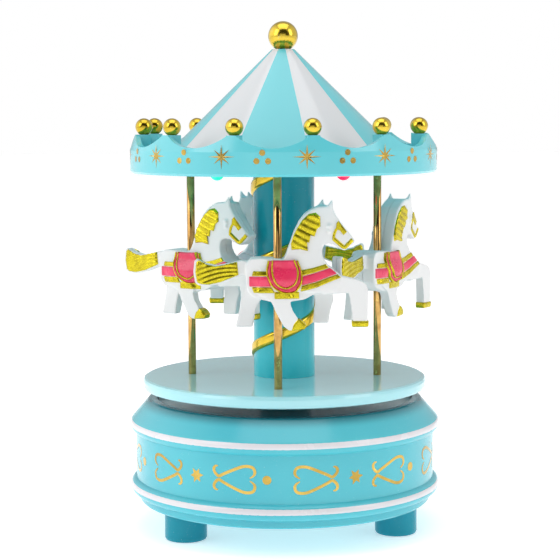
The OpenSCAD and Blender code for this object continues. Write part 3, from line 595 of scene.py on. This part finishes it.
strideHindleg = [(-7, 13), (-2.2, 9.8), (-1.1, 7.6), (0.2, 4.4), (2.0, 1.1), (3.8, -0.2), (6.0, 0.0),
                 (7.2, 2.8), (4.8, 6.4), (3.9, 9.0), (4.8, 10.8), (2, 15)]
standingForeleg = [(11.6, 14), (12.7, 10), (12.6, 7), (11.8, 1.4), (17.1, 1.4), (17.8, 6), (18.8, 9),
                   (18.4, 13), (16, 16)]
standingHindleg = [(-10.5, 16), (-11.3, 12.5), (-12.6, 9.5), (-13.1, 5), (-14.5, 0.1), (-8.6, 0.1),
                   (-8.2, 3), (-7.3, 7), (-5.4, 10), (-3, 13)]
tailOutline = [(-8.6, 22.9), (-12.5, 23.1), (-17, 22.0), (-20.8, 21.4), (-24.6, 22.3), (-27.0, 23.7),
               (-27.9, 23.0), (-28.3, 19.2), (-27.7, 15.6), (-26.8, 14.8), (-23.3, 14.4), (-18.5, 15.5),
               (-12, 18.1), (-8.6, 18.8)]


# rounded barrel: centre and radius of each knot, then the ears: forward, aside, height, radius
barrelKnots = [((-4.2, 0, 16.9), 6.7), ((3, 0, 16.5), 6.8), ((9.5, 0, 16.6), 6.0), ((13.4, 0, 17.0), 5.4)]
earKnots = [(-0.6, 2.9, 40.2, 1.25), (0, 3.1, 41.6, 0.95), (0.3, 3.2, 43.1, 0.35)]
# the neck's half width: the head narrows toward the nose, the neck widens into the chest
neckShape = {"half": 3.9, "faceStart": 16, "headFoot": 24, "noseTaper": 0.13, "chestTop": 27.0,
             "chestSpread": 0.2, "chestDepth": 9.0}


def neckWidth(x, z):
    shape = neckShape
    if x > shape["faceStart"] and z > shape["headFoot"]:
        return shape["half"] - shape["noseTaper"] * (x - shape["faceStart"])
    below = min(shape["chestDepth"], max(0.0, shape["chestTop"] - z))
    return shape["half"] + shape["chestSpread"] * below


def horseBody(bm):
    slab(bm, barrelOutline, flat(-4.7), flat(4.7))
    chain(bm, barrelKnots, 0.92)
    slab(bm, neckOutline, lambda x, z: -neckWidth(x, z), neckWidth)
    for side, x in ((-1, 17.8), (1, 14.9)):
        ear = [((x + forward, side * aside, height), r) for forward, aside, height, r in earKnots]
        chain(bm, ear, 0.75)
    for side in (-1, 1):
        blob(bm, Vector((17.3, side * 3.9, 34.6)), 0.8, 0.8)
        blob(bm, Vector((17.3, side * 3.9, 33.0)), 0.7, 0.8)
        blob(bm, Vector((24.4, side * 2.7, 30.2)), 0.5, 0.6)
    slab(bm, raisedForeleg, flat(-5.4), flat(-2.0))
    slab(bm, strideHindleg, flat(-5.5), flat(-2.0))
    slab(bm, standingForeleg, flat(2.0), flat(5.3))
    slab(bm, standingHindleg, flat(2.0), flat(5.5))
    slab(bm, tailOutline, flat(-1.8), flat(1.8))


foreHoof = [(24.7, 0.9), (30.2, 0.9), (30.4, 3.1), (24.6, 3.1)]
hindHoof = [(4.4, -0.2), (9.0, 0.1), (9.5, 1.6), (8.2, 3.1), (6.8, 3.9), (5.2, 2.2)]


def horseHooves(bm):
    slab(bm, foreHoof, flat(-5.7), flat(-1.9))
    slab(bm, hindHoof, flat(-5.7), flat(-1.9))


# a point on the body's side, lifted by some millimetres; a ray that misses falls back on the nearest point
rayStart, besideMiddle = 30, 3
# how deep the rim of a relief is sunk under the surface
rimSink, stripSink = -0.12, 0.1


def hug(tree, x, z, side, lift):
    hit, normal, index, distance = tree.ray_cast(Vector((x, side * rayStart, z)) * mm, Vector((0, -side, 0)))
    if hit is None:
        hit, normal, index, distance = tree.find_nearest(Vector((x, side * besideMiddle, z)) * mm)
    return hit + Vector((0, side, 0)).lerp(normal, 0.5).normalized() * lift * mm


def outward(points, faces, side):
    turned = []
    for face in faces:
        a, b, c = (points[i] for i in (face[0], face[1], face[-1]))
        turned.append(face if (b - a).cross(c - a).y * side > 0 else face[::-1])
    return turned


def strip(tree, path, width, lift, side, rows=7):
    points, faces = [], []
    for i, p in enumerate(path):
        ahead = path[min(i + 1, len(path) - 1)] - path[max(i - 1, 0)]
        across = Vector((-ahead.y, ahead.x)).normalized()
        for k in range(rows):
            t = 2 * k / (rows - 1) - 1
            q = Vector((p.x, p.y)) + across * t * width / 2
            points.append(hug(tree, q.x, q.y, side, lift * (1 - t ** 4) - stripSink))
    for i in range(len(path) - 1):
        for k in range(rows - 1):
            a = i * rows + k
            faces.append((a, a + 1, a + rows + 1, a + rows))
    return points, outward(points, faces, side)


def between(tree, lower, upper, lift, side, rows=9, columns=28):
    def along(path, t):
        spans = len(path) - 1
        i = min(int(t * spans), spans - 1)
        return Vector(path[i]).lerp(Vector(path[i + 1]), t * spans - i)
    points, faces = [], []
    for i in range(columns + 1):
        a, b = along(lower, i / columns), along(upper, i / columns)
        for k in range(rows):
            q = a.lerp(b, k / (rows - 1))
            edge = k in (0, rows - 1) or i in (0, columns)
            points.append(hug(tree, q.x, q.y, side, rimSink if edge else lift))
    for i in range(columns):
        for k in range(rows - 1):
            a = i * rows + k
            faces.append((a, a + 1, a + rows + 1, a + rows))
    return points, outward(points, faces, side)


edgeStep = 0.5


def patch(tree, outline, lift, side, ridge=None, rings=14):
    dense = []
    for a, b in zip(outline, outline[1:] + outline[:1]):
        cuts = max(1, int((Vector(b) - Vector(a)).length / edgeStep))
        dense += [Vector(a).lerp(Vector(b), k / cuts) for k in range(cuts)]
    centre = sum(dense, Vector((0, 0))) / len(dense)
    count = len(dense)
    def top(q):
        return lift + (ridge(q.x, q.y) if ridge else 0.0)
    points = [hug(tree, centre.x, centre.y, side, top(centre))]
    for ring in range(1, rings + 1):
        for p in dense:
            q = centre.lerp(p, ring / rings)
            points.append(hug(tree, q.x, q.y, side, rimSink if ring == rings else top(q)))
    faces = [(0, 1 + i, 1 + (i + 1) % count) for i in range(count)]
    for ring in range(rings - 1):
        for i in range(count):
            a, b = 1 + ring * count + i, 1 + ring * count + (i + 1) % count
            faces.append((a, b, b + count, a + count))
    return points, outward(points, faces, side)


def flatPath(knots, steps=8):
    return [p.to_2d() for p in curvePoints([(x, z, 0) for x, z in knots], steps)]


def shrunk(outline, share):
    centre = sum((Vector(p) for p in outline), Vector((0, 0))) / len(outline)
    return [tuple(centre.lerp(Vector(p), share)) for p in outline]


maneOutline = [(4.6, 26.7), (4.3, 28.6), (5.2, 31.6), (6.5, 34.1), (8.1, 36.6), (10.4, 38.8),
               (12.8, 39.3), (14.3, 37.9), (14.4, 34.6), (13.2, 33.7), (12.4, 31.2), (11.0, 31.5),
               (10.6, 29.1), (9.7, 29.3), (10.1, 26.3), (7.4, 26.9)]
saddleFlap = [(-3.0, 23.2), (-3.6, 19.4), (-2.8, 16.9), (-1.6, 14.7), (1.0, 12.9), (3.6, 12.4),
              (6.1, 13.2), (7.8, 16.0), (7.8, 19.4), (6.5, 23.2)]
saddlePanel = [(-1.7, 23.4), (-1.9, 20.0), (-1.4, 17.6), (0.1, 15.3), (2.7, 14.2), (5.2, 15.2),
               (6.5, 17.4), (6.6, 20.2), (5.4, 23.4)]
bands = {
    "gold": [([(-8.7, 18.1), (-3.3, 18.1)], [(-8.2, 19.8), (-3.5, 19.8)]),
             ([(-8.1, 12.4), (-0.9, 12.4)], [(-8.8, 14.5), (-2.0, 14.5)]),
             ([(7.8, 18.0), (12, 19.0), (17.2, 20.8)], [(7.4, 20.0), (12, 20.9), (16.2, 22.2)]),
             ([(7.4, 12.7), (13, 14.2), (17, 15.9), (21.2, 17.6)],
              [(7.8, 14.9), (13, 16.2), (17, 17.8), (20.2, 18.8)]),
             ([(-1.2, 10.4), (7.2, 10.4)], [(-1.2, 12.9), (7.2, 12.9)])],
    "pink": [([(-9.6, 14.5), (-2.1, 14.5)], [(-9.6, 18.1), (-3.4, 18.1)]),
             ([(7.8, 14.9), (13, 16.2), (17, 17.8), (20.0, 18.9)],
              [(7.8, 18.0), (12, 19.0), (15, 20.0), (17.4, 20.9)])]}
noseBand = [(20.3, 36.4), (23.2, 32.6), (22.0, 31.5), (20.8, 33.1), (19.4, 33.6), (19.6, 35.6)]


# locks of hair: height and spacing in millimetres, then how they slant, bend and open
maneHair = {"rise": 0.3, "spacing": 1.9, "along": 0.62, "up": 0.78, "bend": 0.012}
tailHair = {"rise": 0.32, "spacing": 1.1, "middle": 18.4, "bend": 0.02, "bendAt": -14, "opening": 0.04,
            "openingFrom": -10}


def maneRidge(x, z):
    hair = maneHair
    across = hair["along"] * x + hair["up"] * z - hair["bend"] * x * x
    return hair["rise"] * abs(math.sin(math.pi * across / hair["spacing"]))


def tailRidge(x, z):
    hair = tailHair
    across = z - hair["middle"] + hair["bend"] * (x - hair["bendAt"]) ** 2
    spacing = hair["spacing"] - hair["opening"] * (x - hair["openingFrom"])
    return hair["rise"] * abs(math.sin(math.pi * across / spacing))


saddleStitch = [(-2.7, 21), (-2.7, 18), (-1.5, 15.8), (0.5, 14.0), (3.2, 13.3), (5.8, 14.3), (7.2, 16.8),
                (7.2, 21)]
chinStrap = [(18.6, 30.5), (20.4, 28.9), (22.3, 27.5), (23.6, 28.6), (25.0, 30.0)]
cheekStrap = [(19.6, 33.6), (18.9, 31.9), (18.7, 30.4)]
# how far each piece of relief stands off the body, and how wide each strap is
reliefLook = {"mane": 0.35, "tail": 0.3, "tailShare": 0.9, "band": 0.35, "flap": 0.75, "panel": 1.25,
              "piping": 0.75, "flapPiping": 1.0, "panelPiping": 1.5, "stitch": 0.8, "stitchLift": 1.15,
              "nose": 0.35, "chin": 1.5, "cheek": 1.1, "bridle": 0.4}


def horseTrim(tree, look):
    gold, pink, white = [], [], []
    for side in (-1, 1):
        painted = {"gold": gold if side < 0 else white, "pink": pink if side < 0 else white}
        painted["gold"].append(patch(tree, maneOutline, look["mane"], side, maneRidge))
        gold.append(patch(tree, shrunk(tailOutline[1:-1], look["tailShare"]), look["tail"], side, tailRidge))
        for colour, areas in bands.items():
            for lower, upper in areas:
                painted[colour].append(between(tree, lower, upper, look["band"], side))
        painted["pink"].append(patch(tree, saddleFlap, look["flap"], side))
        painted["pink"].append(patch(tree, saddlePanel, look["panel"], side))
        for edge, lift in ((saddleFlap, look["flapPiping"]), (saddlePanel, look["panelPiping"])):
            painted["gold"].append(strip(tree, flatPath(edge, 6), look["piping"], lift, side, 5))
        stitch = flatPath(saddleStitch, 6)
        painted["pink"].append(strip(tree, stitch, look["stitch"], look["stitchLift"], side, 5))
        painted["gold"].append(patch(tree, noseBand, look["nose"], side))
        painted["gold"].append(strip(tree, flatPath(chinStrap, 6), look["chin"], look["bridle"], side))
        painted["gold"].append(strip(tree, flatPath(cheekStrap, 6), look["cheek"], look["bridle"], side, 5))
    return gold, pink, white


# the moulding seam is a shallow groove along the middle
seamLook = {"gap": 0.05 * mm, "reach": 0.4 * mm, "depth": 0.1}


def halfOf(mesh, side, name):
    bm = bmesh.new()
    bm.from_mesh(mesh)
    bmesh.ops.bisect_plane(bm, geom=bm.verts[:] + bm.edges[:] + bm.faces[:],
                           plane_co=(0, side * seamLook["gap"], 0), plane_no=(0, -side, 0),
                           clear_outer=True)
    for v in bm.verts:
        near = abs(v.co.y) / seamLook["reach"]
        if near < 1:
            v.co -= v.normal * seamLook["depth"] * mm * (1 - near)
    made = bpy.data.meshes.new(name)
    bm.to_mesh(made)
    bm.free()
    made.shade_smooth()
    return made


def buildHorses(look):
    voxel = look["voxel"]
    body = fused("horseBody", horseBody, voxel, look["smoothing"], whitePlastic)
    hooves = fused("horseHooves", horseHooves, voxel, 3, horseGold)
    bm = bmesh.new()
    bm.from_mesh(body)
    tree = BVHTree.FromBMesh(bm)
    bm.free()
    gold, pink, white = horseTrim(tree, reliefLook)
    shared = {"hooves": hooves}
    for part, shapes, material in (("goldTrim", gold, horseGold), ("pinkTrim", pink, pinkPaint),
                                   ("plainTrim", white, whitePlastic)):
        made = gather("horse" + part, shapes, material)
        shared[part] = made.data
        shared[part].shade_smooth()
        bpy.data.objects.remove(made)
    halves = {"left": halfOf(body, 1, "horseLeftHalf"), "right": halfOf(body, -1, "horseRightHalf")}
    swivels = {j["name"]: j for j in frame["joints"]}
    for spot, heading in look["headings"].items():
        pivot = Vector(swivels[spot + " horse swivel"]["pos_m"])
        stand = Matrix.Translation((pivot.x, pivot.y, look["stage"] + look["lift"]))
        turned = stand @ Matrix.Rotation(math.radians(heading), 4, "Z")
        for part, mesh in {**shared, **halves}.items():
            piece = bpy.data.objects.new(spot + "Horse" + part[0].upper() + part[1:], mesh)
            bpy.context.scene.collection.objects.link(piece)
            piece.matrix_world = turned
            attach(piece, spot + " horse")
            if part in halves:
                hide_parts(spot + "_horse_" + part + "_half")


horseLook = {"voxel": 0.36, "quickVoxel": 0.5, "smoothing": 5, "stage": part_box("column_front_half")[0].z,
             "lift": 20.7 * mm, "headings": {"front": 0, "right": 57, "rear": 180, "left": -31}}
buildHorses(horseLook)
print("horses done")


# thin painted line round each bead of the drum
def beadLine(name, look):
    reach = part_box("base_shell")[1].x - look["bead"]
    rows, count = look["rows"], look["count"]
    points, faces = [], []
    for i in range(count):
        turn = 2 * math.pi * i / count
        for k in range(rows):
            a = math.radians(look["from"] + (look["to"] - look["from"]) * k / (rows - 1))
            r = look["bead"] + (look["lift"] if 0 < k < rows - 1 else -look["sink"])
            around = reach + r * math.cos(a)
            height = look["height"] + r * math.sin(a)
            points.append((around * math.cos(turn), around * math.sin(turn), height))
    for i in range(count):
        for k in range(rows - 1):
            a, b = i * rows + k, (i + 1) % count * rows + k
            faces.append((a, b, b + 1, a + 1))
    line = addMesh(name, points, faces, whitePlastic)
    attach(line, "base")


beadLineLook = {"bead": 3.0 * mm, "lift": 0.05 * mm, "sink": 0.02 * mm, "height": 37.2 * mm, "from": -8,
                "to": 33, "rows": 7, "count": 240}
beadLine("upperBeadLine", beadLineLook)
beadLine("lowerBeadLine", {**beadLineLook, "height": 15.4 * mm, "from": -8, "to": 32})


paperLook = {**whiteLook, "tint": (0.95, 0.95, 0.95), "shade": (0.94, 0.94, 0.94),
             "speck": (0.93, 0.93, 0.93), "rough": 0.6, "coat": 0.0, "depth": 0.0, "specular": 0.1}


def studio(look):
    half = look["floorHalf"]
    floor = addMesh("floor", [(-half, -half, 0), (half, -half, 0), (half, half, 0), (-half, half, 0)],
                    [(0, 1, 2, 3)], mouldedPlastic("paperFloor", paperLook))
    glow = floor.data.materials[0].node_tree.nodes["Principled BSDF"].inputs
    glow["Emission Color"].default_value = (1, 1, 1, 1)
    glow["Emission Strength"].default_value = look["floorGlow"]
    world = bpy.data.worlds.new("studioWorld")
    world.use_nodes = True
    tree = world.node_tree
    background = tree.nodes["Background"]
    aim = Value(tree, tree.nodes.new("ShaderNodeTexCoord").outputs["Generated"])
    # a white tent with a dark opening toward the camera
    opening = (-1 * aim.axis(1)).smooth(look["openingEdge"], look["openingMiddle"])
    left = (-1 * aim.axis(0)).smooth(*look["sideEdge"])
    right = aim.axis(0).smooth(*look["sideEdge"])
    tent = look["back"] + left * look["left"] + right * look["right"]
    seen = Value(tree, tree.nodes.new("ShaderNodeLightPath").outputs["Is Camera Ray"])
    level = seen + (1 - seen) * ((1 - opening) * tent + opening * look["dark"])
    tree.links.new(level.socket, background.inputs["Strength"])
    background.inputs["Color"].default_value = (1, 1, 1, 1)
    bpy.context.scene.world = world
    bpy.context.scene.view_settings.view_transform = "Standard"
    for name, place, size, power in look["lamps"]:
        lamp = bpy.data.lights.new(name, "AREA")
        lamp.shape = "RECTANGLE"
        lamp.size, lamp.size_y = size
        lamp.energy = power
        holder = bpy.data.objects.new(name, lamp)
        holder.location = place
        holder.rotation_mode = "QUATERNION"
        holder.rotation_quaternion = (Vector(look["middle"]) - Vector(place)).to_track_quat("-Z", "Y")
        bpy.context.scene.collection.objects.link(holder)


def takePicture(look):
    camera = bpy.data.cameras.new("camera")
    camera.sensor_width = look["sensor"]
    camera.lens = look["lens"]
    camera.clip_start, camera.clip_end = look["clip"]
    holder = bpy.data.objects.new("camera", camera)
    tilt = Matrix.Rotation(math.radians(90 - look["pitch"]), 4, "X")
    turn = Matrix.Rotation(math.radians(-look["yaw"]), 4, "Z")
    roll = Matrix.Rotation(math.radians(look["roll"]), 4, "Z")
    holder.matrix_world = Matrix.Translation(look["place"]) @ turn @ tilt @ roll
    bpy.context.scene.collection.objects.link(holder)
    bpy.context.scene.camera = holder


studioLook = {"back": 0.5, "left": 0.9, "right": 0.4, "sideEdge": (0.3, 0.9), "dark": 0.03,
              "openingEdge": 0.3, "openingMiddle": 0.75, "floorGlow": 0.46, "floorHalf": 6,
              "middle": (0, 0, 0.09),
              "lamps": [("frontBox", (-0.1, -1.3, 0.3), (1.2, 0.4), 1.1),
                        ("leftBox", (-0.75, -0.5, 0.6), (0.5, 0.7), 2.4),
                        ("rightBox", (0.8, -0.4, 0.55), (0.4, 0.7), 1.8),
                        ("topBox", (0.0, -0.1, 0.95), (0.8, 0.8), 2.9)]}
cameraLook = {"lens": 108.6, "sensor": 36, "clip": (0.01, 50),
              "place": (-0.96 * mm, -598.2 * mm, 145.7 * mm), "pitch": 5.575, "yaw": -0.046, "roll": -0.26}
studio(studioLook)
takePicture(cameraLook)

print("scene ready")
